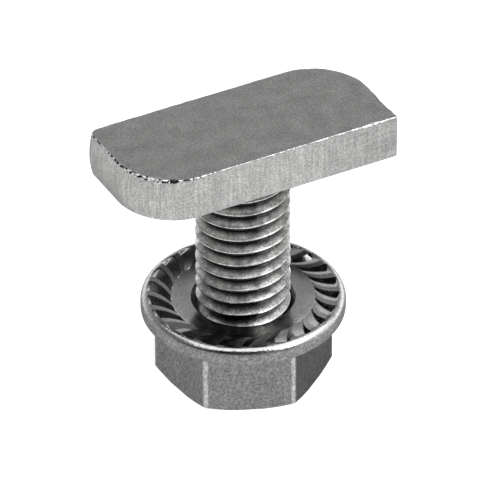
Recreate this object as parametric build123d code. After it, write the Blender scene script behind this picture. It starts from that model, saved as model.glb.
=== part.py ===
"""T-slot bolt M8 x 20 with the serrated flange nut that is screwed onto it.

The pair stands on the hexagon end of the nut, with the bolt's head up. The
origin is at the middle of the nut's end face, +Z runs up the bolt's axis and
the long side of the head lies along X. All sizes are in millimetres.
"""
from build123d import *
import math
import os

# Thread of the bolt, a metric coarse thread
thread_crest_diameter = 7.9
thread_pitch = 1.25
thread_flank_angle = 60
thread_depth = 0.74
thread_root_width = 0.3
thread_turn = 62
runout_rise = 1.0
plain_neck_length = 0.3
end_chamfer = 0.8

# Shank below the head
shank_length = 20.0

# Slot across the shank's end, in line with the head
slot_width = 1.2
slot_depth = 0.9

# Head, with two opposite corners turned round so that it swings in a T slot
head_length = 23.5
head_width = 10.3
head_thickness = 3.9
head_turning_radius = 5.1
head_back_corner_radius = 0.9
head_front_corner_radius = 0.25
head_left_crown = 0.28
head_end_bevel = 0.3
head_edge_bevel = 0.13

# Hexagon of the nut
nut_height = 7.5
across_flats = 13.0
hex_edge_radius = 0.45
hex_turn = 36.4
hex_chamfer_diameter = 13.2
hex_chamfer_angle = 24

# Flange of the nut
flange_diameter = 17.15
flange_rim_bottom = 6.0
flange_rim_radius = 0.38
rim_facet_count = 3
flange_cone_angle = 22

# Bearing face: a sunk ring round the bore, and ratchet teeth round the ring
ring_diameter = 12.1
ring_depth = 0.5
ring_step = 0.13
tooth_count = 24
tooth_outer_diameter = 16.3
tooth_depth = 0.3
tooth_ramp_width = 1.6
tooth_wall_lean = 0.04
tooth_curve_radius = 2.4
tooth_curve_angle = 70
tooth_turn = 1.0

# Bore of the nut
bore_clearance = 0.06
bearing_sink_depth = 0.37
base_sink_depth = 0.34
sink_angle = 45

# The shank's end stands this far inside the nut's end face
end_inset = 0.3

# A cutting tool runs this far past the face that it cuts
overrun = 0.5

crest_radius = thread_crest_diameter / 2
root_radius = crest_radius - thread_depth
head_base_z = end_inset + shank_length
head_top_z = head_base_z + head_thickness
bore_radius = crest_radius + bore_clearance
flange_radius = flange_diameter / 2
ring_z = nut_height - ring_depth
on_base = (Align.CENTER, Align.CENTER, Align.MIN)


def groove_section(z):
    """The space between two turns, cut through at height z and reaching out past the crests."""
    reach = thread_depth + overrun
    low_half = thread_root_width / 2
    high_half = low_half + reach * math.tan(math.radians(thread_flank_angle / 2))
    inner = root_radius
    outer = root_radius + reach
    return make_face(
        Polyline(
            (inner, 0, z - low_half),
            (outer, 0, z - high_half),
            (outer, 0, z + high_half),
            (inner, 0, z + low_half),
            close=True,
        )
    )


def thread_groove():
    """The thread's groove: a helix from below the shank's end that runs out under the head."""
    start_z = end_inset - thread_pitch
    runout_z = head_base_z - plain_neck_length - runout_rise
    rise = runout_z - start_z
    helix = Helix(thread_pitch, rise, root_radius, center=(0, 0, start_z))
    groove = sweep(groove_section(start_z), path=helix, is_frenet=True)
    climb = math.degrees(math.atan2(thread_depth + bore_clearance, runout_rise))
    slant_pitch = thread_pitch / math.cos(math.radians(climb))
    spiral = Helix(slant_pitch, runout_rise, root_radius, center=(0, 0, runout_z), cone_angle=climb)
    runout = sweep(groove_section(runout_z), path=spiral, is_frenet=True)
    runout = runout.rotate(Axis.Z, 360 * rise / thread_pitch)
    return [groove.rotate(Axis.Z, thread_turn), runout.rotate(Axis.Z, thread_turn)]


def threaded_shank():
    rod = Pos(0, 0, end_inset) * Cylinder(crest_radius, shank_length, align=on_base)
    rod = chamfer(rod.edges().sort_by(Axis.Z)[0], end_chamfer)
    slot = Pos(0, 0, end_inset) * Box(thread_crest_diameter, slot_width, slot_depth, align=on_base)
    return rod - thread_groove() - slot


def head_plan():
    """The head seen from above: a bar with two opposite corners turned round."""
    plan = Rectangle(head_length, head_width)
    back_left = [v for v in plan.vertices() if v.X < 0 and v.Y > 0]
    plan = fillet(back_left, head_back_corner_radius)
    front_right = [v for v in plan.vertices() if v.X > head_length / 4 and v.Y < 0]
    plan = fillet(front_right, head_front_corner_radius)
    turned = [v for v in plan.vertices() if v.X * v.Y > head_length * head_width / 4 - overrun]
    return fillet(turned, head_turning_radius)


def head_side():
    """The head seen from its long side: left end crowned, right end upright, both bevelled."""
    half = head_length / 2
    shoulder = half - head_left_crown
    bevel_z = head_top_z - head_end_bevel
    middle_z = (head_base_z + bevel_z) / 2
    rest = Polyline(
        (-shoulder, head_base_z),
        (half, head_base_z),
        (half, bevel_z),
        (half - head_end_bevel, head_top_z),
        (head_end_bevel - shoulder, head_top_z),
        (-shoulder, bevel_z),
    )
    left_end = ThreePointArc((-shoulder, bevel_z), (-half, middle_z), (-shoulder, head_base_z))
    return Plane.XZ * make_face(rest + left_end)


def t_head():
    bar = Pos(0, 0, head_base_z) * extrude(head_plan(), head_thickness)
    rims = bar.faces().sort_by(Axis.Z)[0].edges() + bar.faces().sort_by(Axis.Z)[-1].edges()
    bar = chamfer(rims, head_edge_bevel)
    return bar & extrude(head_side(), head_width, both=True)


def t_bolt():
    return t_head() + threaded_shank()


def hex_body():
    """The hexagon, with its edges rounded and its free end chamfered to a circle."""
    plan = fillet(RegularPolygon(across_flats / 2, 6, major_radius=False).vertices(), hex_edge_radius)
    prism = extrude(plan, ring_z).rotate(Axis.Z, hex_turn)
    base_radius = hex_chamfer_diameter / 2
    spread = ring_z / math.tan(math.radians(hex_chamfer_angle))
    return prism & Cone(base_radius, base_radius + spread, ring_z, align=on_base)


def flange_body():
    """The flange, turned about Z: cone, upright rim, edge rounded in steps, and dished face."""
    rim_top = nut_height - flange_rim_radius
    rim_in = flange_radius - flange_rim_radius
    cone_drop = flange_radius * math.tan(math.radians(flange_cone_angle))
    steps = [math.radians(90 * i / rim_facet_count) for i in range(rim_facet_count + 1)]
    arc = [(math.cos(a) * flange_rim_radius, math.sin(a) * flange_rim_radius) for a in steps]
    rounding = Polyline([(rim_in + out, rim_top + up) for out, up in arc])
    sides = Polyline(
        (ring_diameter / 2, ring_z + ring_step),
        (ring_diameter / 2, ring_z),
        (0, ring_z),
        (0, flange_rim_bottom - cone_drop),
        (flange_radius, flange_rim_bottom),
        (flange_radius, rim_top),
    )
    dish = Line((rim_in, nut_height), (ring_diameter / 2, ring_z + ring_step))
    return revolve(Plane.XZ * make_face(rounding + dish + sides), Axis.Z)


def tooth_gap():
    """The space between two teeth on the +X side: a wall and a long ramp, swept along an arc."""
    outer = tooth_outer_diameter / 2
    inner = ring_diameter / 2
    floor_z = nut_height - tooth_depth
    fall = math.atan2(floor_z - ring_z, outer - inner)
    inwards = (-math.cos(fall), 0, -math.sin(fall))
    floor = Plane((outer, 0, floor_z), x_dir=inwards, z_dir=(-math.sin(fall), 0, math.cos(fall)))
    curve = JernArc((0, 0), (1, 0), tooth_curve_radius, -tooth_curve_angle)
    scale = 1 + overrun / tooth_depth
    section = Polyline(
        (0, 0),
        (-tooth_wall_lean * scale, tooth_depth * scale),
        (tooth_ramp_width * scale, tooth_depth * scale),
        close=True,
    )
    start = Plane(floor.origin, x_dir=(0, -1, 0), z_dir=inwards)
    gap = sweep(start * make_face(section), path=floor * curve)
    zone = Cylinder(outer, nut_height * 2) - Cylinder(inner, nut_height * 2)
    return gap & zone


def flange_nut():
    blank = hex_body() + flange_body()
    spread = math.tan(math.radians(sink_angle))
    top_radius = bore_radius + bearing_sink_depth * spread
    base_radius = bore_radius + base_sink_depth * spread
    bore = Cylinder(bore_radius, nut_height * 2)
    top_sink = Cone(bore_radius, top_radius, bearing_sink_depth, align=on_base)
    top_sink = Pos(0, 0, ring_z - bearing_sink_depth) * top_sink
    base_sink = Cone(base_radius, bore_radius, base_sink_depth, align=on_base)
    gaps = [tooth_gap().rotate(Axis.Z, tooth_turn + 360 * i / tooth_count) for i in range(tooth_count)]
    return blank - bore - top_sink - base_sink - gaps


os.makedirs("parts", exist_ok=True)
pieces = {"t_bolt": t_bolt(), "flange_nut": flange_nut()}
for name, piece in pieces.items():
    export_step(piece, f"parts/{name}.step")
    print(name, round(piece.volume, 1), piece.is_valid)
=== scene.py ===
# %% [markdown]
# A T-slot bolt with its serrated flange nut
# The bolt has a flat bar for a head and a rolled thread. The nut has a hexagon, a flange and
# ratchet teeth. Both are steel with a thin bright zinc plating. The exact solids come in first
# as a fixed frame, and every finer piece is measured from them.

# %% Load the frame
import bpy
import bmesh
import math
from mathutils import Matrix, Vector, noise


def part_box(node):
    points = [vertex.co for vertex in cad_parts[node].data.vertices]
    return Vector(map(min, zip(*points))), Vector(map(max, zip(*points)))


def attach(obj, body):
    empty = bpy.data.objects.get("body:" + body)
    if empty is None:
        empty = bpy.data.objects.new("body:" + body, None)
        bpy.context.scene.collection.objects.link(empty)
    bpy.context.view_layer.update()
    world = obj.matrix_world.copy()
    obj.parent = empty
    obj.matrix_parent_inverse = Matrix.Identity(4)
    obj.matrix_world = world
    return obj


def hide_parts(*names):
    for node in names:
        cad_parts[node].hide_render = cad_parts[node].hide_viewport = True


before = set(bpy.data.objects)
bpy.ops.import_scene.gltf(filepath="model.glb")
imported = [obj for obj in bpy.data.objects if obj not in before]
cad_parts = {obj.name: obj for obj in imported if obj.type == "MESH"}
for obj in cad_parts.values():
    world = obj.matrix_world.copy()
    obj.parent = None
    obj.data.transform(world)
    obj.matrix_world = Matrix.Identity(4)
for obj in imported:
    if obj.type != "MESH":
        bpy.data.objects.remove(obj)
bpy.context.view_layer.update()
MM = 0.001
bolt_low, bolt_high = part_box("t_bolt")
nut_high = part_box("flange_nut")[1]
print("bolt", [round(x / MM, 2) for x in bolt_high], "nut", [round(x / MM, 2) for x in nut_high])

# %% [markdown]
# The camera
# The photograph looks down by 35 degrees and a little from the left of the head's broad side.
# It was taken from far away with a long lens, so the lines hardly converge. A camera could be
# turned by eye until it looks right, but these values were fitted to the outlines of the head
# and the flange, because a wrong height or distance can't be told from a wrong size by eye.

# %% Camera
CAMERA_DISTANCE = 473.6 * MM
CAMERA_ELEVATION = math.radians(34.997)
CAMERA_SWING = math.radians(28.06)
CAMERA_ROLL = math.radians(-0.371)
AIM_RIGHT = 0.592 * MM
AIM_UP = 11.643 * MM
PIXELS_PER_METRE = 12073
IMAGE_PIXELS = 500
SENSOR_WIDTH = 36
NEAREST_SEEN = 10 * MM
QUARTER_TURN = math.radians(90)


def add_camera():
    data = bpy.data.cameras.new("camera")
    data.sensor_width = SENSOR_WIDTH
    data.lens = PIXELS_PER_METRE * CAMERA_DISTANCE / IMAGE_PIXELS * SENSOR_WIDTH
    data.clip_start = NEAREST_SEEN
    camera = bpy.data.objects.new("camera", data)
    bpy.context.scene.collection.objects.link(camera)
    place = Matrix.Rotation(-CAMERA_SWING, 4, "Z") @ Matrix.Translation((AIM_RIGHT, 0, AIM_UP))
    tilt = Matrix.Rotation(QUARTER_TURN - CAMERA_ELEVATION, 4, "X")
    back = Matrix.Translation((0, 0, CAMERA_DISTANCE))
    camera.matrix_world = place @ tilt @ back @ Matrix.Rotation(CAMERA_ROLL, 4, "Z")
    bpy.context.scene.camera = camera
    return camera


camera = add_camera()
print("camera at", [round(x, 4) for x in camera.matrix_world.translation])

# %% [markdown]
# From a bmesh to a piece
# Every piece is made as a bmesh at its place in the frame. The helper merges what coincides,
# turns the faces outwards, keeps real edges sharp and ties the piece to its body. It prints how
# many edges are open, because a closed skin has none.

# %% Piece helper
MERGE_DISTANCE = 0.0002 * MM
EDGE_ANGLE = 30
THREAD_EDGE_ANGLE = 40


def make_mesh(shape, name, sharp_angle):
    bmesh.ops.remove_doubles(shape, verts=shape.verts, dist=MERGE_DISTANCE)
    bmesh.ops.recalc_face_normals(shape, faces=shape.faces)
    open_edges = sum(1 for e in shape.edges if len(e.link_faces) != 2)
    mesh = bpy.data.meshes.new(name)
    shape.to_mesh(mesh)
    shape.free()
    mesh.shade_smooth()
    mesh.set_sharp_from_angle(angle=math.radians(sharp_angle))
    piece = bpy.data.objects.new(name, mesh)
    bpy.context.scene.collection.objects.link(piece)
    mesh.calc_loop_triangles()
    print(name, len(mesh.loop_triangles), "triangles", open_edges, "open edges")
    return piece


def tie(piece, node, body):
    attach(piece, body)
    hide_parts(node)
    return piece


# %% [markdown]
# Growing a ring
# Most of the nut is turned about one axis. It could be a profile that is spun, but its face has
# teeth and its sides have corners. So a closed ring of edges is extruded again and again, and
# each new ring gets the radius and the height that the form has there.

# %% Ring helper
def mix(a, b, t):
    return a + (b - a) * t


def soft_step(t):
    t = min(max(t, 0), 1)
    return t * t * (3 - 2 * t)


def place_ring(verts, radius, height, bend=None):
    """Moves each vertex to that radius and height, at the angle where it stands or is bent to."""
    for v in verts:
        angle = math.atan2(v.co.y, v.co.x)
        if bend:
            angle = bend(angle)
        r = radius(angle) if callable(radius) else radius
        z = height(angle) if callable(height) else height
        v.co = (r * math.cos(angle), r * math.sin(angle), z)


def grow_ring(shape, edges, radius, height, bend=None):
    """Extrudes a closed ring of edges to a new radius and height, and gives the new ring."""
    grown = bmesh.ops.extrude_edge_only(shape, edges=edges)["geom"]
    place_ring([g for g in grown if isinstance(g, bmesh.types.BMVert)], radius, height, bend)
    return [g for g in grown if isinstance(g, bmesh.types.BMEdge) and len(g.link_faces) == 1]


# %% [markdown]
# The face that carries the teeth
# The bearing face is gently dished, and a steeper lip outside rolls over into the rim. Pressed
# teeth have no edge of their own at the ends, so the gaps between them run out to nothing at
# the lip. Both forms are a height for each radius, which is easier to fit than a cut.

# %% Bearing face
NUT_HEIGHT = nut_high.z
FLANGE_RADIUS = nut_high.x
RIM_ROUNDING = 0.75 * MM
CREST = FLANGE_RADIUS - RIM_ROUNDING
TEETH_OUTER = 8.15 * MM
TEETH_INNER = 6.05 * MM
TEETH_CLOSE = 8.08 * MM
CLOSING_LENGTH = 0.35 * MM
LIP_INNER = 7.3 * MM
LIP_FOOT = 7.4 * MM
RING_HEIGHT = 7.0 * MM
RING_STEP = 0.13 * MM
FLOOR_DROP = 0.3 * MM


def land_height(r):
    """The crests of the teeth: gently dished, with a steeper lip that rolls over at the rim."""
    if r > CREST:
        return NUT_HEIGHT - RIM_ROUNDING + math.sqrt(RIM_ROUNDING**2 - (r - CREST) ** 2)
    if r > LIP_INNER:
        return mix(LIP_FOOT, NUT_HEIGHT, (r - LIP_INNER) / (CREST - LIP_INNER))
    return mix(RING_HEIGHT + RING_STEP, LIP_FOOT, (r - TEETH_INNER) / (LIP_INNER - TEETH_INNER))


def gap_depth(r):
    """How far the floor of a gap lies below the crests: nothing at the lip."""
    reach = (r - TEETH_INNER) / (TEETH_OUTER - TEETH_INNER)
    floor = mix(RING_HEIGHT, NUT_HEIGHT - FLOOR_DROP, reach)
    return (land_height(r) - floor) * soft_step((TEETH_CLOSE - r) / CLOSING_LENGTH)


print("crest of the rim at", round(CREST / MM, 3), "mm")

# %% [markdown]
# The nut's teeth
# The bearing face carries 24 ratchet teeth, which bite when the nut is turned back. Each is a
# long ramp that ends at a steep wall, and the ramps curve as they run inwards. They could be cut
# out one by one, but a grid that is bent into one tooth has clean rows to grow the rim from, and
# a spin copies it round the bore.

# %% Teeth
TOOTH_COUNT = 24
TOOTH_COLUMNS = 16
TOOTH_ROWS = 26
CURVE_RADIUS = 2.4 * MM
TOOTH_TURN = math.radians(1.0)
LAND_END = 0.32
FLOOR_START = 0.95
WALL_FOOT = 0.975
GRID_HALF = 0.5
COLUMN_SLACK = 0.001
ROW_CROWDING = 1.3
FULL_TURN = math.radians(360)


def ramp_share(u):
    """How deep the gap is across one tooth: 0 on the land, 1 on the floor."""
    if u > WALL_FOOT:
        return 1 - (u - WALL_FOOT) / (1 - WALL_FOOT)
    return min(max((u - LAND_END) / (FLOOR_START - LAND_END), 0), 1)


def curve_shift(r):
    """The angle by which a tooth has turned at radius r."""
    reach = (TEETH_OUTER - r) / CURVE_RADIUS
    return CURVE_RADIUS * (1 - math.sqrt(1 - reach * reach)) / r


def tooth_patch():
    """One tooth: its last column is the top of the wall, and its rows crowd towards the lip."""
    shape = bmesh.new()
    bmesh.ops.create_grid(shape, x_segments=TOOTH_COLUMNS, y_segments=TOOTH_ROWS, size=GRID_HALF)
    last = (TOOTH_COLUMNS - 1) / TOOTH_COLUMNS
    for v in shape.verts:
        across = v.co.x + GRID_HALF
        u = across / last * WALL_FOOT if across < last + COLUMN_SLACK else 1
        r = mix(TEETH_OUTER, TEETH_INNER, (v.co.y + GRID_HALF) ** ROW_CROWDING)
        angle = TOOTH_TURN + (u - 1) * 2 * math.pi / TOOTH_COUNT + curve_shift(r)
        z = land_height(r) - gap_depth(r) * ramp_share(u)
        v.co = (r * math.cos(angle), r * math.sin(angle), z)
    return shape


def spin_copies(shape, count):
    bmesh.ops.spin(
        shape,
        geom=shape.verts[:] + shape.edges[:] + shape.faces[:],
        cent=(0, 0, 0),
        axis=(0, 0, 1),
        dvec=(0, 0, 0),
        angle=FULL_TURN * (count - 1) / count,
        steps=count - 1,
        use_duplicate=True,
    )
    bmesh.ops.remove_doubles(shape, verts=shape.verts, dist=MERGE_DISTANCE)


nut_shape = tooth_patch()
spin_copies(nut_shape, TOOTH_COUNT)
print("teeth", len(nut_shape.faces), "faces")

# %% [markdown]
# The hexagon
# A forged nut has a hexagon with slightly rounded edges, and its free end is chamfered to a
# circle. It could be joined on as a solid of its own, but then the fine ring of the flange would
# meet six big faces. A radius for each angle lets the same ring run on down the hexagon, and its
# columns are drawn together at the edges, where the rounding needs them.

# %% Hexagon
HEX_INRADIUS = 6.5 * MM
HEX_EDGE_RADIUS = 0.3 * MM
HEX_TURN = math.radians(36.4)
HEX_SECTOR = math.radians(60)
HALF_SECTOR = HEX_SECTOR / 2
HEX_GATHER = 0.25
HEX_BASE_RADIUS = 6.6 * MM
HEX_CHAMFER = math.tan(math.radians(24))


def angle_in_sector(angle):
    """The angle from the middle of the hexagon's side that lies there."""
    return (angle - HEX_TURN) % HEX_SECTOR - HALF_SECTOR


def hexagon_radius(angle):
    """The distance from the axis to the hexagon's side, with its edges rounded."""
    a = angle_in_sector(angle)
    inner = HEX_INRADIUS - HEX_EDGE_RADIUS
    if HEX_INRADIUS * math.tan(abs(a)) < inner * math.tan(HALF_SECTOR):
        return HEX_INRADIUS / math.cos(a)
    off = HALF_SECTOR - abs(a)
    centre = inner / math.cos(HALF_SECTOR)
    return centre * math.cos(off) + math.sqrt(HEX_EDGE_RADIUS**2 - (centre * math.sin(off)) ** 2)


def gather(angle):
    """Draws the columns of the ring together at the hexagon's rounded edges."""
    a = angle_in_sector(angle)
    off = 1 - abs(a) / HALF_SECTOR
    bent = off * (HEX_GATHER + (1 - HEX_GATHER) * off)
    return angle - a + math.copysign(1 - bent, a) * HALF_SECTOR


def chamfer_height(angle):
    return max(hexagon_radius(angle) - HEX_BASE_RADIUS, 0) * HEX_CHAMFER


def base_radius(angle):
    return min(hexagon_radius(angle), HEX_BASE_RADIUS)


print("hexagon across its edges", round(2 * hexagon_radius(HEX_TURN) / MM, 2), "mm")

# %% [markdown]
# The nut's flange and bore
# The ring of teeth has an outer and an inner border. The outer one is grown over the rounded
# rim, in under the flange, down the hexagon and across its base. The inner one is grown across
# the plain ring and down the bore, until both meet. Grown like this the nut is one closed skin.

# %% Nut body
RIM_BOTTOM = 6.0 * MM
RIM_STEPS = 8
FLANGE_CONE = math.tan(math.radians(22))
RIM_EDGE = 0.12 * MM
RIM_EDGE_SHAPE = ((0, 2), (0.2, 0.8), (1, -FLANGE_CONE))
RING_FILLET = 0.12 * MM
RING_FILLET_SHAPE = ((0.3, 0.3), (1, 0))
BORE_RADIUS = 4.01 * MM
BEARING_SINK = 0.37 * MM
BASE_SINK = 0.34 * MM
BORDER_SLACK = 0.002 * MM


def flange_foot(angle):
    """The height at which the flange's cone meets the hexagon."""
    return RIM_BOTTOM - (FLANGE_RADIUS - hexagon_radius(angle)) * FLANGE_CONE


def ring_edges(shape, radius):
    """The open edges whose ends lie at that radius."""
    def near(v):
        return abs(math.hypot(v.co.x, v.co.y) - radius) < BORDER_SLACK
    return [e for e in shape.edges if len(e.link_faces) == 1 and near(e.verts[0]) and near(e.verts[1])]


def grow_rim(shape, outer):
    """Grows the outer border round the rim's rounding and its lower edge."""
    start = math.acos((TEETH_OUTER - CREST) / RIM_ROUNDING)
    for step in range(1, RIM_STEPS + 1):
        a = start * (1 - step / RIM_STEPS)
        top = NUT_HEIGHT - RIM_ROUNDING + RIM_ROUNDING * math.sin(a)
        outer = grow_ring(shape, outer, CREST + RIM_ROUNDING * math.cos(a), top)
    for inwards, up in RIM_EDGE_SHAPE:
        outer = grow_ring(shape, outer, FLANGE_RADIUS - inwards * RIM_EDGE, RIM_BOTTOM + up * RIM_EDGE)
    return outer


def finish_nut(shape):
    """Grows both borders until they meet in the bore, whose sinks are as wide as they are deep."""
    outer = ring_edges(shape, TEETH_OUTER)
    inner = ring_edges(shape, TEETH_INNER)
    print("borders", len(outer), len(inner))
    outer = grow_rim(shape, outer)
    outer = grow_ring(shape, outer, hexagon_radius, flange_foot, gather)
    outer = grow_ring(shape, outer, hexagon_radius, chamfer_height)
    outer = grow_ring(shape, outer, base_radius, 0)
    outer = grow_ring(shape, outer, BORE_RADIUS + BASE_SINK, 0)
    outer = grow_ring(shape, outer, BORE_RADIUS, BASE_SINK)
    for inwards, up in RING_FILLET_SHAPE:
        radius = TEETH_INNER - inwards * RING_FILLET
        inner = grow_ring(shape, inner, radius, RING_HEIGHT + up * RING_FILLET)
    inner = grow_ring(shape, inner, BORE_RADIUS + BEARING_SINK, RING_HEIGHT)
    inner = grow_ring(shape, inner, BORE_RADIUS, RING_HEIGHT - BEARING_SINK)
    bmesh.ops.bridge_loops(shape, edges=outer + inner)


finish_nut(nut_shape)
nut = tie(make_mesh(nut_shape, "serrated_flange_nut", EDGE_ANGLE), "flange_nut", "nut")

# %% [markdown]
# The thread's profile
# A rolled thread has flanks at 60 degrees to each other, a rounded root and a crest that is
# nearly sharp. One pitch of that profile is drawn as a chain of edges. The Screw modifier could
# wind it up, but the mesh is there only once that is applied, and the run-out and the ends have
# to be shaped in the mesh.

# %% Thread profile
CREST_RADIUS = 3.95 * MM
PITCH = 1.25 * MM
THREAD_DEPTH = 0.74 * MM
ROOT_RADIUS = CREST_RADIUS - THREAD_DEPTH
ROOT_HALF = 0.15 * MM
ROOT_ROUNDING = 0.05 * MM
CREST_ROUNDING = 0.03 * MM
CREST_SHOULDER = 0.3 * CREST_ROUNDING
FLANK = math.tan(math.radians(30))
FLANK_STEPS = 6


def thread_profile(shape, start):
    """One pitch of the thread, from crest to crest, as a chain of edges in the XZ plane."""
    mouth = ROOT_HALF + THREAD_DEPTH * FLANK
    half = [(CREST_RADIUS, PITCH / 2), (CREST_RADIUS, mouth + CREST_SHOULDER)]
    for i in range(FLANK_STEPS + 1):
        depth = mix(CREST_ROUNDING, THREAD_DEPTH - ROOT_ROUNDING, i / FLANK_STEPS)
        half.append((CREST_RADIUS - depth, mouth - depth * FLANK))
    half.append((ROOT_RADIUS, ROOT_HALF - ROOT_ROUNDING))
    points = [(r, -z) for r, z in half] + [(r, z) for r, z in reversed(half)]
    verts = [shape.verts.new((r, 0, start + z)) for r, z in points]
    edges = [shape.edges.new(pair) for pair in zip(verts, verts[1:])]
    return verts + edges


print("thread", round(PITCH / MM, 2), "mm a turn and", round(THREAD_DEPTH / MM, 2), "mm deep")

# %% [markdown]
# The threaded shank
# The thread climbs by 1.25 mm a turn. A spin that also rises makes one turn of it, and copies of
# that turn make the rest. Where the groove runs out under the head it gets shallower, and the
# shank's end is chamfered. Both only need a limit on the radius, so the turns stay whole.

# %% Shank
THREAD_TURN = math.radians(62)
STEPS_PER_TURN = 96
SPARE_TURNS = 2
SHANK_END = 0.3 * MM
END_CHAMFER = 0.8 * MM
HEAD_BASE = 20.3 * MM
RUNOUT_START = 19.0 * MM
RUNOUT_RISE = 1.0 * MM
BURIED = 0.6 * MM
CUT_TOLERANCE = 1e-9


def clamp_radius(v, least, most):
    r = math.hypot(v.co.x, v.co.y)
    wanted = min(max(r, least), most)
    v.co.x *= wanted / r
    v.co.y *= wanted / r


def trim(shape, height, normal):
    """Cuts off what lies past that height, and closes the cut."""
    cut = bmesh.ops.bisect_plane(
        shape,
        geom=shape.verts[:] + shape.edges[:] + shape.faces[:],
        dist=CUT_TOLERANCE,
        plane_co=(0, 0, height),
        plane_no=(0, 0, normal),
        clear_outer=True,
    )
    rim = [g for g in cut["geom_cut"] if isinstance(g, bmesh.types.BMEdge)]
    bmesh.ops.holes_fill(shape, edges=rim, sides=0)


def turns_of_thread():
    shape = bmesh.new()
    start = SHANK_END - PITCH
    chain = thread_profile(shape, start)
    turn = Matrix.Rotation(THREAD_TURN, 3, "Z")
    bmesh.ops.rotate(shape, verts=shape.verts, cent=(0, 0, 0), matrix=turn)
    bmesh.ops.spin(
        shape,
        geom=chain,
        cent=(0, 0, 0),
        axis=(0, 0, 1),
        dvec=(0, 0, PITCH / STEPS_PER_TURN),
        angle=FULL_TURN,
        steps=STEPS_PER_TURN,
    )
    one_turn = shape.verts[:] + shape.edges[:] + shape.faces[:]
    for i in range(1, math.ceil((HEAD_BASE - start) / PITCH) + SPARE_TURNS):
        copy = bmesh.ops.duplicate(shape, geom=one_turn)["geom"]
        verts = [g for g in copy if isinstance(g, bmesh.types.BMVert)]
        bmesh.ops.translate(shape, vec=(0, 0, i * PITCH), verts=verts)
    bmesh.ops.remove_doubles(shape, verts=shape.verts, dist=MERGE_DISTANCE)
    return shape


def threaded_shank():
    shape = turns_of_thread()
    for v in shape.verts:
        runout = ROOT_RADIUS + THREAD_DEPTH * (v.co.z - RUNOUT_START) / RUNOUT_RISE
        clamp_radius(v, min(max(runout, ROOT_RADIUS), CREST_RADIUS), CREST_RADIUS)
        clamp_radius(v, 0, max(CREST_RADIUS - END_CHAMFER + v.co.z - SHANK_END, ROOT_RADIUS))
    trim(shape, SHANK_END, -1)
    trim(shape, HEAD_BASE + BURIED, 1)
    return shape


bolt = make_mesh(threaded_shank(), "t_slot_bolt", THREAD_EDGE_ANGLE)

# %% [markdown]
# The head's bar
# The head is a flat bar, sheared from strip and pressed. Two opposite corners are turned round
# so that it can swing in a slot, and the other two are plain. A flat grid gets its corners by a
# bevel of its vertices, is extruded to the bar and has its rims bevelled. Level cuts give the
# sides rows of vertices, which the crown of the left end needs.

# %% Head bar
HEAD_TOP = bolt_high.z
HEAD_LENGTH = bolt_high.x - bolt_low.x
HEAD_WIDTH = bolt_high.y - bolt_low.y
TURN_RADIUS = 5.1 * MM
BACK_CORNER_RADIUS = 0.9 * MM
FRONT_CORNER_RADIUS = 0.25 * MM
# Each corner has the signs of its x and its y, and the number of segments of its rounding
BACK_LEFT = (-1, 1, 10)
FRONT_RIGHT = (1, -1, 8)
BACK_RIGHT = (1, 1, 48)
FRONT_LEFT = (-1, -1, 48)
CORNER_ZONE = 0.9 * HEAD_LENGTH / 2
STRAIGHT_SIDES = 4
SIDE_STEP = 0.25 * MM
SIDE_LEVELS = 6
RIM_BEVEL = 0.09 * MM
BEVEL_SEGMENTS = 4
ROUND_PROFILE = 0.5


def corner_radius_at(x, y):
    if x * y > 0:
        return TURN_RADIUS
    return BACK_CORNER_RADIUS if y > 0 else FRONT_CORNER_RADIUS


def corner_verts(shape, x, y):
    """The vertices at the plain corner whose coordinates have the signs of x and y."""
    free = [v for v in shape.verts if len(v.link_edges) == 2]
    return [v for v in free if v.co.x * x > CORNER_ZONE and v.co.y * y > 0]


def round_edges(shape, geom, offset, segments, affect):
    bmesh.ops.bevel(
        shape,
        geom=geom,
        offset=offset,
        offset_type="OFFSET",
        segments=segments,
        profile=ROUND_PROFILE,
        affect=affect,
        material=-1,
    )


def head_plan():
    """The flat outline of the head, with even steps along its four straight sides."""
    shape = bmesh.new()
    bmesh.ops.create_grid(shape, x_segments=1, y_segments=1, size=GRID_HALF)
    bmesh.ops.scale(shape, vec=(HEAD_LENGTH, HEAD_WIDTH, 1), verts=shape.verts)
    bmesh.ops.translate(shape, vec=(0, 0, HEAD_BASE), verts=shape.verts)
    for x, y, segments in (BACK_LEFT, FRONT_RIGHT, BACK_RIGHT, FRONT_LEFT):
        round_edges(shape, corner_verts(shape, x, y), corner_radius_at(x, y), segments, "VERTICES")
    for e in sorted(shape.edges, key=lambda e: e.calc_length())[-STRAIGHT_SIDES:]:
        bmesh.ops.subdivide_edges(shape, edges=[e], cuts=int(e.calc_length() / SIDE_STEP))
    return shape


def head_bar():
    shape = head_plan()
    grown = bmesh.ops.extrude_face_region(shape, geom=shape.faces[:])["geom"]
    lifted = [g for g in grown if isinstance(g, bmesh.types.BMVert)]
    bmesh.ops.translate(shape, vec=(0, 0, HEAD_TOP - HEAD_BASE), verts=lifted)
    rims = [e for e in shape.edges if abs(e.verts[0].co.z - e.verts[1].co.z) < MERGE_DISTANCE]
    round_edges(shape, rims, RIM_BEVEL, BEVEL_SEGMENTS, "EDGES")
    for level in range(1, SIDE_LEVELS):
        bmesh.ops.bisect_plane(
            shape,
            geom=shape.verts[:] + shape.edges[:] + shape.faces[:],
            dist=CUT_TOLERANCE,
            plane_co=(0, 0, mix(HEAD_BASE, HEAD_TOP, level / SIDE_LEVELS)),
            plane_no=(0, 0, 1),
        )
    return shape


head_shape = head_bar()
print("head bar", len(head_shape.faces), "faces")

# %% [markdown]
# Wear on the head's top rim
# The real bevel is narrow and even in the middle and widens towards the ends, where the head was
# knocked about in handling. A bevel could be given another width at each edge, but neighbouring
# widths then clash. So the even bevel is scaled out from its corner by an amount that changes
# smoothly along the rim. The left end also bulges a little. The vertices of the bevel carry the
# value rim, which the finish reads later.

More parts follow.
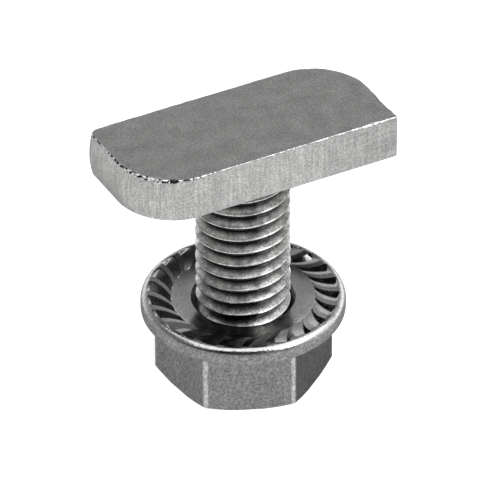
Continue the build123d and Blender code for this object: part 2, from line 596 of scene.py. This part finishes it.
# %% Wear and crown
WEAR_CHANGE = 0.8
WEAR_LENGTH = 0.9 * MM
END_WEAR = 2.4
FRONT_WEAR_START = 2 * MM
FRONT_WEAR_SPAN = 6 * MM
RIGHT_WEAR_START = 5 * MM
RIGHT_WEAR_SPAN = 6 * MM
LEFT_WEAR_START = 6 * MM
LEFT_WEAR_SPAN = 4 * MM
CORNER_REACH = 1.2 * MM
RIM_ZONE = RIM_BEVEL * 1.01
LEFT_CROWN = 0.28 * MM
RIGHT_CROWN = 0.02 * MM


def side_of(x, y):
    """The distance in from the head's side, and the direction out of it."""
    r = corner_radius_at(x, y)
    qx = abs(x) - (HEAD_LENGTH / 2 - r)
    qy = abs(y) - (HEAD_WIDTH / 2 - r)
    sx = math.copysign(1, x)
    sy = math.copysign(1, y)
    if qx > 0 and qy > 0:
        far = math.hypot(qx, qy)
        return r - far, Vector((sx * qx / far, sy * qy / far, 0))
    if qx > qy:
        return r - qx, Vector((sx, 0, 0))
    return r - qy, Vector((0, sy, 0))


def wear(x, y):
    """How many times wider than the plain bevel the top rim's bevel is there."""
    uneven = 1 + WEAR_CHANGE * noise.noise(Vector((x, y, 0)) / WEAR_LENGTH)
    front = soft_step((FRONT_WEAR_START - y) / FRONT_WEAR_SPAN)
    right = soft_step((x - RIGHT_WEAR_START) / RIGHT_WEAR_SPAN)
    left = soft_step((-x - LEFT_WEAR_START) / LEFT_WEAR_SPAN)
    wide = uneven * (1 + front * (END_WEAR * right + END_WEAR * left))
    corner = math.hypot(x - HEAD_LENGTH / 2, y + HEAD_WIDTH / 2)
    return mix(1, wide, soft_step(corner / CORNER_REACH))


def crown(x, z):
    """How far the head's end is drawn in there: most at its top and its base."""
    middle = (HEAD_BASE + HEAD_TOP) / 2
    most = LEFT_CROWN if x < 0 else RIGHT_CROWN
    bulge = most * ((z - middle) / (HEAD_TOP - middle)) ** 2
    return bulge * soft_step((abs(x) - HEAD_LENGTH / 2 + TURN_RADIUS) / TURN_RADIUS)


def wear_and_crown(shape):
    rim = shape.verts.layers.float.new("rim")
    for v in shape.verts:
        x, y, z = v.co
        depth, out = side_of(x, y)
        drop = HEAD_TOP - z
        if depth < RIM_ZONE and drop < RIM_ZONE:
            v[rim] = 1 if min(depth, drop) > MERGE_DISTANCE else 0
            grow = wear(x, y) - 1
            x -= out.x * depth * grow
            y -= out.y * depth * grow
            z -= drop * grow
        x -= math.copysign(crown(x, z), x)
        v.co = (x, y, z)


wear_and_crown(head_shape)
head_piece = make_mesh(head_shape, "head_blank", EDGE_ANGLE)

# %% [markdown]
# One bolt
# The head and the shank are one forging. They could overlap as two shells, but then the finish
# and the exported skin would run on inside the metal, so a Boolean joins them. The shank's end
# has a slot that shows which way the head points when it is inside the rail. A Boolean drops the
# value rim, so it is given back to the vertices at the places that had it. The last modifier
# keeps the flat faces flat, although the edges beside them are shaded round.

# %% Join the bolt
SLOT_WIDTH = 1.2 * MM
SLOT_DEPTH = 0.9 * MM
SLOT_REACH = 3 * CREST_RADIUS
RIM_SHARE = 0.5


def slot_cutter():
    shape = bmesh.new()
    bmesh.ops.create_cube(shape, size=1)
    bmesh.ops.scale(shape, vec=(SLOT_REACH, SLOT_WIDTH, 2 * SLOT_DEPTH), verts=shape.verts)
    bmesh.ops.translate(shape, vec=(0, 0, SHANK_END), verts=shape.verts)
    return make_mesh(shape, "slot_cutter", EDGE_ANGLE)


def combine(target, other, operation):
    modifier = target.modifiers.new(operation.lower(), "BOOLEAN")
    modifier.object = other
    modifier.operation = operation
    modifier.solver = "EXACT"
    depsgraph = bpy.context.evaluated_depsgraph_get()
    mesh = bpy.data.meshes.new_from_object(target.evaluated_get(depsgraph))
    target.modifiers.clear()
    target.data = mesh
    bpy.data.objects.remove(other)


def place_key(co):
    return tuple(round(c / MERGE_DISTANCE) for c in co)


def rim_places(piece):
    """The places of the vertices that lie on the worn rim."""
    values = [item.value for item in piece.data.attributes["rim"].data]
    return {place_key(v.co) for v, value in zip(piece.data.vertices, values) if value > RIM_SHARE}


def mark_rim(piece, places):
    for v, item in zip(piece.data.vertices, piece.data.attributes["rim"].data):
        item.value = 1 if place_key(v.co) in places else 0


worn_places = rim_places(head_piece)
combine(bolt, head_piece, "UNION")
combine(bolt, slot_cutter(), "DIFFERENCE")
mark_rim(bolt, worn_places)
bolt.modifiers.new("flat_faces_stay_flat", "WEIGHTED_NORMAL").keep_sharp = True
bolt.data.calc_loop_triangles()
print("bolt", len(bolt.data.loop_triangles), "triangles", len(rim_places(bolt)), "rim vertices")
tie(bolt, "t_bolt", "bolt")

# %% [markdown]
# Building a finish from nodes
# Steel under thin zinc mirrors the studio softly. A picture of metal could be wrapped round it,
# but it would stretch and have a seam. Noise that is read from the object's own coordinates fits
# every face and moves with the piece. These helpers add one node each.

# %% Node helpers
def add_node(tree, kind, inputs, **settings):
    """Adds a node with its settings, and fills its inputs with values or with links."""
    node = tree.nodes.new(kind)
    for key, value in settings.items():
        setattr(node, key, value)
    for key, value in inputs.items():
        if isinstance(value, bpy.types.NodeSocket):
            tree.links.new(value, node.inputs[key])
        else:
            node.inputs[key].default_value = value
    return node


def math_node(tree, operation, a, b=0.0):
    return add_node(tree, "ShaderNodeMath", {0: a, 1: b}, operation=operation).outputs[0]


def vector_math(tree, operation, inputs):
    return add_node(tree, "ShaderNodeVectorMath", inputs, operation=operation).outputs


def product(tree, *values):
    total = values[0]
    for value in values[1:]:
        total = math_node(tree, "MULTIPLY", total, value)
    return total


def blend(tree, share, a, b):
    return add_node(tree, "ShaderNodeMix", {0: share, 2: a, 3: b}).outputs[0]


def split(tree, vector):
    return add_node(tree, "ShaderNodeSeparateXYZ", {0: vector}).outputs


def remap(tree, value, span, result):
    """Turns the span of a value into the result's span, and holds it beyond."""
    inputs = {"Value": value, 1: span[0], 2: span[1], 3: result[0], 4: result[1]}
    return add_node(tree, "ShaderNodeMapRange", inputs).outputs["Result"]


def rise(tree, value, span):
    return remap(tree, value, span, (0, 1))


def fall(tree, value, span):
    return remap(tree, value, span, (1, 0))


# %% [markdown]
# Where a point lies, and noise
# The finishes change with the height, with the distance from the axis and with the way that a
# face looks. All of these come from the object itself and in millimetres, so a zone of the finish
# is given by the same sizes as the form under it.

# %% Place and noise
NOISE_SPAN = (0.3, 0.7)


def in_millimetres(tree, stretch=(1, 1, 1)):
    """Object coordinates in millimetres, stretched along each axis."""
    place = add_node(tree, "ShaderNodeTexCoord", {}).outputs["Object"]
    return vector_math(tree, "MULTIPLY", {0: place, 1: tuple(s / MM for s in stretch)})[0]


def facing_of(tree):
    """The way that the surface looks, along each axis of the object."""
    return split(tree, add_node(tree, "ShaderNodeTexCoord", {}).outputs["Normal"])


def distance_from_axis(tree, place):
    squares = [math_node(tree, "POWER", place[axis], 2.0) for axis in ("X", "Y")]
    return math_node(tree, "SQRT", math_node(tree, "ADD", *squares))


def noise_field(tree, size, detail, stretch=(1, 1, 1), roughness=0.5):
    """Noise whose lumps are about that many millimetres wide."""
    vector = in_millimetres(tree, stretch)
    inputs = {"Vector": vector, "Scale": 1 / size, "Detail": detail, "Roughness": roughness}
    return add_node(tree, "ShaderNodeTexNoise", inputs).outputs["Fac"]


def vary(tree, field, result):
    """Spreads what a noise field mostly holds over the result's span."""
    return remap(tree, field, NOISE_SPAN, result)


# %% [markdown]
# The steel itself
# Both finishes start from the same bare metal, and each gets its tone, its roughness and its
# bump from noise. The tint of the grazing reflections is lowered, because zinc that has been
# handled doesn't turn into a mirror where it is seen at a flat angle.

# %% Bare steel
GRAZING_TINT = (0.45, 0.45, 0.45, 1)


def new_steel(name):
    material = bpy.data.materials.new(name)
    material.use_nodes = True
    shader = material.node_tree.nodes["Principled BSDF"]
    shader.inputs["Metallic"].default_value = 1
    shader.inputs["Specular Tint"].default_value = GRAZING_TINT
    return material, material.node_tree, shader


def set_tone(tree, shader, tone, tint):
    colour = vector_math(tree, "SCALE", {0: tint, 3: tone})[0]
    tree.links.new(colour, shader.inputs["Base Color"])


def set_bump(tree, shader, height, depth):
    bump = add_node(tree, "ShaderNodeBump", {"Height": height, "Strength": 1, "Distance": depth})
    tree.links.new(bump.outputs["Normal"], shader.inputs["Normal"])


def dress(piece, material):
    piece.data.materials.clear()
    piece.data.materials.append(material)
    print(material.name, len(material.node_tree.nodes), "nodes")


# %% [markdown]
# The bolt's finish
# The head's top is a pressed face with cloudy plating and a fine grain. Its sides were sheared,
# which leaves upright streaks, and the right end has level scuffs as well. The thread is stained,
# its roots are painted dark as painted shade, and its flanks grow lighter towards the crests as
# painted light. The rim of the top is dented all along, and speckled most at the left end. Each
# zone could have a material of its own, but then they would meet at hard lines, so all of it is
# one finish whose zones blend into each other.

# %% Bolt steel
# A pair of tones is the least and the most by which the steel's own tone is multiplied
BOLT_TONE = 0.37
BOLT_TINT = (1, 1, 0.985)
BOLT_PATCHES = (0.86, 1.12)
BOLT_GRAIN = (0.62, 1.36)
STREAKS = (0.72, 1.14)
SCUFF_SPAN = (0.35, 0.65)
SCUFFS = (0.7, 1.0)
UPRIGHT_SPAN = (0.2, 0.6)
HEAD_UNDERSIDE = (20.28, 20.32)
RIGHT_END = (3, 11)
THREAD_ROOT = (3.25, 3.7)
PAINTED_ROOT_SHADE = (0.05, 1.25)
STAIN_SPAN = (0.36, 0.62)
STAINS = (0.62, 1.2)
SPECK_SPAN = (0.46, 0.54)
SPECKS = (0.03, 2.2)
LEFT_END = (-8, -4)
SPECKLED = (1, 0.25)
THREAD_ROUGHNESS = (0.2, 0.3)
HEAD_ROUGHNESS = (0.28, 0.38)
RIM_DENTS = 9.0
BOLT_BUMP = 0.008 * MM


def bolt_steel():
    material, tree, shader = new_steel("bolt_steel")
    patches = noise_field(tree, size=1.6, detail=5, roughness=0.65)
    grain = noise_field(tree, size=0.14, detail=3, roughness=0.6)
    streaks = noise_field(tree, size=0.22, detail=5, stretch=(1, 1, 0.06), roughness=0.7)
    scuffs = noise_field(tree, size=0.5, detail=5, stretch=(0.25, 0.25, 2.5), roughness=0.7)
    place = split(tree, in_millimetres(tree))
    upright = fall(tree, math_node(tree, "ABSOLUTE", facing_of(tree)["Z"]), UPRIGHT_SPAN)
    on_head = rise(tree, place["Z"], HEAD_UNDERSIDE)
    sheared = product(tree, upright, on_head)
    scuffed = product(tree, sheared, rise(tree, place["X"], RIGHT_END))
    rim = add_node(tree, "ShaderNodeAttribute", {}, attribute_name="rim").outputs["Fac"]
    tone = product(
        tree,
        BOLT_TONE,
        vary(tree, patches, BOLT_PATCHES),
        vary(tree, grain, BOLT_GRAIN),
        blend(tree, sheared, 1.0, vary(tree, streaks, STREAKS)),
        blend(tree, scuffed, 1.0, remap(tree, scuffs, SCUFF_SPAN, SCUFFS)),
    )
    # Painted shade and light: the tone runs from nearly black in the thread's roots to a quarter above
    # its own near the crests.
    root_shade = remap(tree, distance_from_axis(tree, place), THREAD_ROOT, PAINTED_ROOT_SHADE)
    stains = noise_field(tree, size=0.8, detail=4, roughness=0.6)
    stains = remap(tree, stains, STAIN_SPAN, STAINS)
    tone = blend(tree, on_head, product(tree, tone, root_shade, stains), tone)
    specks = remap(tree, noise_field(tree, size=0.3, detail=2), SPECK_SPAN, SPECKS)
    speckled = product(tree, rim, remap(tree, place["X"], LEFT_END, SPECKLED))
    tone = blend(tree, speckled, tone, product(tree, tone, specks))
    set_tone(tree, shader, tone, BOLT_TINT)
    on_thread = vary(tree, patches, THREAD_ROUGHNESS)
    rough = blend(tree, on_head, on_thread, vary(tree, patches, HEAD_ROUGHNESS))
    tree.links.new(rough, shader.inputs["Roughness"])
    dents = product(tree, noise_field(tree, size=0.2, detail=3, roughness=0.6), RIM_DENTS)
    height = blend(tree, rim, blend(tree, sheared, grain, streaks), dents)
    set_bump(tree, shader, height, BOLT_BUMP)
    return material


dress(bolt, bolt_steel())

# %% [markdown]
# The nut's finish
# The bearing face is bright, and its teeth are painted a little darker. The hexagon and the
# upright rim are matt, as forged metal is after blasting, and the hexagon's rounded edges carry a
# painted highlight. The zones could be painted onto the vertices, but nearly all of them are rings,
# so a radius and a height give them more sharply.

# %% Nut zones
# The edge of each zone lies between its two values, in millimetres of height or of radius
FACE_HEIGHT = (6.9, 7.0)
UPRIGHT_RIM_HEIGHT = (7.0, 7.25)
UPRIGHT_RIM_RADIUS = (8.3, 8.45)
HEXAGON_TOP = (5.9, 6.0)
EDGE_TOP = (5.2, 5.4)
EDGE_RADIUS = (7.34, 7.41)
TEETH_START = (6.0, 6.1)
TEETH_END = (7.9, 8.05)
ROUNDING_RADIUS = (8.0, 8.15)
ROUNDING_HEIGHT = (7.1, 7.25)
DENT_RADIUS = (7.8, 8.1)
DENT_HEIGHT = (6.9, 7.1)


def nut_zones(tree, place, radius):
    """How far a point belongs to the bearing face, the matt metal, the teeth and the rounding."""
    face = rise(tree, place["Z"], FACE_HEIGHT)
    upright_rim = product(
        tree,
        fall(tree, place["Z"], UPRIGHT_RIM_HEIGHT),
        rise(tree, radius, UPRIGHT_RIM_RADIUS),
    )
    matt = math_node(tree, "MAXIMUM", upright_rim, math_node(tree, "SUBTRACT", 1.0, face))
    teeth = product(tree, rise(tree, radius, TEETH_START), fall(tree, radius, TEETH_END), face)
    rounding = product(
        tree,
        rise(tree, radius, ROUNDING_RADIUS),
        rise(tree, place["Z"], ROUNDING_HEIGHT),
    )
    dented = product(tree, rise(tree, radius, DENT_RADIUS), rise(tree, place["Z"], DENT_HEIGHT))
    return matt, teeth, rounding, dented


# %% [markdown]
# The nut's tones
# The hexagon has its own tones: darker than the bright face, with a painted highlight along its
# edges, and with painted shade on the sides that look along X. Blasting shows as lumps that are a
# fifth of a millimetre wide. They could be bump alone, but matt metal hides such bump in soft
# light, so they are in the tone too.

# %% Nut steel
NUT_TONE = 0.36
NUT_TINT = (1, 1, 0.99)
NUT_PATCHES = (0.88, 1.1)
NUT_GRAIN = (0.72, 1.22)
TEETH_SHARE = 0.78
ROUNDING_SHARE = 1.4
UNDER_FLANGE_SHARE = 0.62
HEXAGON_SHARE = 0.54
SHADED_SIDE_SPAN = (0.3, 0.5)
PAINTED_SIDE_SHADE = (1, 0.5)
PAINTED_EDGE_HIGHLIGHT = (1, 2.0)
BLASTED_SPAN = (0.35, 0.65)
BLASTED = (0.72, 1.26)
BRIGHT_ROUGHNESS = (0.13, 0.2)
MATT_ROUGHNESS = (0.36, 0.46)
NUT_DENTS = 7.0
NUT_BUMP = 0.004 * MM


def matt_tone(tree, place, radius):
    """The tone of the matt metal: the flange's underside, and the hexagon with its painted edge
    highlight and its sides along X in painted shade.
    """
    # Painted shade: the hexagon's sides that look along X are painted down to half their tone.
    side_shade = remap(tree, facing_of(tree)["X"], SHADED_SIDE_SPAN, PAINTED_SIDE_SHADE)
    # Painted highlight: the hexagon's rounded edges below EDGE_TOP are painted up to twice as light.
    edges = remap(tree, radius, EDGE_RADIUS, PAINTED_EDGE_HIGHLIGHT)
    edges = blend(tree, fall(tree, place["Z"], EDGE_TOP), 1.0, edges)
    hexagon = product(tree, HEXAGON_SHARE, side_shade, edges)
    tone = blend(tree, fall(tree, place["Z"], HEXAGON_TOP), UNDER_FLANGE_SHARE, hexagon)
    blasted = remap(tree, noise_field(tree, size=0.22, detail=2), BLASTED_SPAN, BLASTED)
    return product(tree, tone, blasted)


def nut_steel():
    material, tree, shader = new_steel("nut_steel")
    patches = noise_field(tree, size=1.2, detail=5, roughness=0.6)
    grain = noise_field(tree, size=0.18, detail=3, roughness=0.7)
    place = split(tree, in_millimetres(tree))
    radius = distance_from_axis(tree, place)
    matt, teeth, rounding, dented = nut_zones(tree, place, radius)
    tone = product(
        tree,
        NUT_TONE,
        # The teeth zone is painted a little darker than the rest of the bearing face.
        blend(tree, teeth, 1.0, TEETH_SHARE),
        blend(tree, rounding, 1.0, ROUNDING_SHARE),
        vary(tree, patches, NUT_PATCHES),
        vary(tree, grain, NUT_GRAIN),
        blend(tree, matt, 1.0, matt_tone(tree, place, radius)),
    )
    set_tone(tree, shader, tone, NUT_TINT)
    bright = vary(tree, patches, BRIGHT_ROUGHNESS)
    rough = blend(tree, matt, bright, vary(tree, patches, MATT_ROUGHNESS))
    tree.links.new(rough, shader.inputs["Roughness"])
    dents = product(tree, noise_field(tree, size=0.35, detail=3, roughness=0.6), NUT_DENTS)
    set_bump(tree, shader, blend(tree, dented, grain, dents), NUT_BUMP)
    return material


dress(nut, nut_steel())

# %% [markdown]
# The light table
# The pair stands on a white table, which glows a little itself and so shows hardly any shadow.
# A plain white floor would turn grey where the light falls off and leave a dark pool under the
# nut. The table reaches far past the picture, so that the metal mirrors nothing else below.

# %% Floor
TABLE_REACH = 3
TABLE_GREY = (0.3, 0.3, 0.3, 1)
TABLE_ROUGHNESS = 0.9
TABLE_GLOW = 0.95
WHITE = (1, 1, 1, 1)


def add_floor():
    shape = bmesh.new()
    bmesh.ops.create_grid(shape, x_segments=1, y_segments=1, size=TABLE_REACH)
    table = make_mesh(shape, "light_table", EDGE_ANGLE)
    material = bpy.data.materials.new("white_acrylic")
    material.use_nodes = True
    shader = material.node_tree.nodes["Principled BSDF"]
    shader.inputs["Base Color"].default_value = TABLE_GREY
    shader.inputs["Roughness"].default_value = TABLE_ROUGHNESS
    shader.inputs["Emission Color"].default_value = WHITE
    shader.inputs["Emission Strength"].default_value = TABLE_GLOW
    dress(table, material)


add_floor()

# %% [markdown]
# The softbox
# One softbox stands at the right, in front and a little above, and lights the front of the head
# and the right of the thread. It is small, so that it gives the thread a light side and a dark
# one. A second one at the left would flatten that.

# %% Softbox
SOFTBOX_AZIMUTH = math.radians(60)
SOFTBOX_ELEVATION = math.radians(42)
SOFTBOX_DISTANCE = 0.5
SOFTBOX_SIDE = 0.2
SOFTBOX_POWER = 2


def add_softbox(name):
    """A softbox that looks at the bolt; azimuth 0 is behind the camera, and 90 is at the right."""
    around = SOFTBOX_AZIMUTH - CAMERA_SWING - QUARTER_TURN
    up = SOFTBOX_ELEVATION
    out = Vector((math.cos(around) * math.cos(up), math.sin(around) * math.cos(up), math.sin(up)))
    data = bpy.data.lights.new(name, "AREA")
    data.shape = "RECTANGLE"
    data.size = SOFTBOX_SIDE
    data.size_y = SOFTBOX_SIDE
    data.energy = SOFTBOX_POWER
    light = bpy.data.objects.new(name, data)
    bpy.context.scene.collection.objects.link(light)
    light.location = out * SOFTBOX_DISTANCE + Vector((0, 0, AIM_UP))
    light.rotation_euler = out.to_track_quat("Z", "Y").to_euler()
    return light


softbox = add_softbox("right_softbox")
print("softbox at", [round(x, 3) for x in softbox.location])

# %% [markdown]
# The backdrop and the scrim
# Metal shows what it mirrors. The backdrop is white near the horizon and dark above, which gives
# the metal its contrast, and it is dark in front, where the camera stands. A wide scrim
# hangs overhead, and the rounded rim of the nut mirrors it as a white line. Both could be lamps
# and panels, but the world's background can hold them as bands of grey, which are easier to set
# and free of noise.

# %% Backdrop
BACKDROP = [(0, 2.6), (13, 2.0), (21, 0.95), (28, 0.7), (37, 0.62), (45, 0.14), (52, 0.03), (90, 0.02)]
LEFT_SPAN = (-0.9, -0.3)
LEFT_SHADE = (0.3, 1)
FRONT_SPAN = (0.3, 0.5)
FRONT_SHADE = (1, 0.03)
SCRIM_LIGHT = 1.8
SCRIM_BACK = (-0.42, -0.3)
SCRIM_FRONT = (0.46, 0.56)
SCRIM_LEFT = (-0.72, -0.5)
SCRIM_LOW = (0.35, 0.5)


def bands_of_grey(tree, height, steps):
    """A grey value for each elevation above the horizon, in degrees."""
    ramp = add_node(tree, "ShaderNodeValToRGB", {"Fac": height})
    elements = ramp.color_ramp.elements
    for elevation, value in steps[1:-1]:
        element = elements.new(math.sin(math.radians(elevation)))
        element.color = (value, value, value, 1)
    elements[0].color = (steps[0][1],) * 3 + (1,)
    elements[-1].color = (steps[-1][1],) * 3 + (1,)
    print("backdrop", [(round(e.position, 2), round(e.color[0], 2)) for e in elements])
    return ramp.outputs["Color"]


def add_backdrop(steps):
    world = bpy.data.worlds.new("studio")
    bpy.context.scene.world = world
    world.use_nodes = True
    tree = world.node_tree
    direction = add_node(tree, "ShaderNodeTexCoord", {}).outputs["Generated"]
    height = split(tree, direction)["Z"]
    right = (math.cos(CAMERA_SWING), -math.sin(CAMERA_SWING), 0)
    near = (-math.sin(CAMERA_SWING), -math.cos(CAMERA_SWING), 0)
    sideways = vector_math(tree, "DOT_PRODUCT", {0: direction, 1: right})["Value"]
    front = vector_math(tree, "DOT_PRODUCT", {0: direction, 1: near})["Value"]
    shade = product(
        tree,
        remap(tree, sideways, LEFT_SPAN, LEFT_SHADE),
        remap(tree, front, FRONT_SPAN, FRONT_SHADE),
    )
    backdrop = vector_math(tree, "SCALE", {0: bands_of_grey(tree, height, steps), 3: shade})[0]
    scrim = product(
        tree,
        SCRIM_LIGHT,
        rise(tree, front, SCRIM_BACK),
        fall(tree, front, SCRIM_FRONT),
        rise(tree, sideways, SCRIM_LEFT),
        rise(tree, height, SCRIM_LOW),
    )
    whole = vector_math(tree, "ADD", {0: backdrop, 1: scrim})[0]
    tree.links.new(whole, tree.nodes["Background"].inputs["Color"])
    tree.nodes["Background"].inputs["Strength"].default_value = 1


add_backdrop(BACKDROP)
bpy.context.scene.view_settings.view_transform = "Standard"
